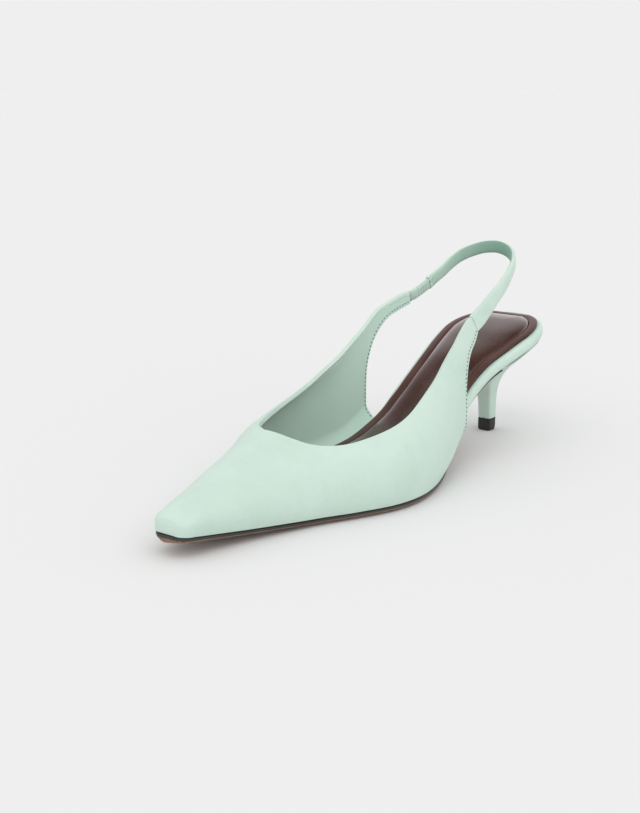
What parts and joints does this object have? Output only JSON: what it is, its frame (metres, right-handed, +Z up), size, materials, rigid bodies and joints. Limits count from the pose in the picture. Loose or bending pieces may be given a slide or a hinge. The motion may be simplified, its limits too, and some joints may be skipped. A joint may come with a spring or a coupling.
{
  "type": "slingback kitten heel",
  "caption": "Left women's slingback pump: pointed low-cut toe, open waist and heel, padded strap with a short elastic, slender covered kitten heel.",
  "frame": {"origin": "on the floor under the middle of the flat that the ball of the foot rests on", "axes": "-Y towards the toe, +X towards the outer side of this left shoe, +Z up"},
  "size_m": [0.0814, 0.2614, 0.0961],
  "materials": {
    "upper_nubuck": "matt mint nubuck",
    "strap_nubuck": "matt mint nubuck",
    "elastic": "covered elastic with fine gathers",
    "rand_nubuck": "matt mint nubuck over the board's edge",
    "sock_leather": "smooth dark brown leather",
    "sole_leather": "smooth brown, edge inked black",
    "heel_cover": "matt mint nubuck",
    "top_piece_rubber": "matt black"
  },
  "bodies": {
    "root": {"upper": "upper_nubuck", "slingback_strap": "strap_nubuck", "elastic": "elastic", "insole_board": "rand_nubuck", "sock": "sock_leather", "outsole": "sole_leather", "heel": "heel_cover", "top_piece": "top_piece_rubber"}
  },
  "joints": []
}
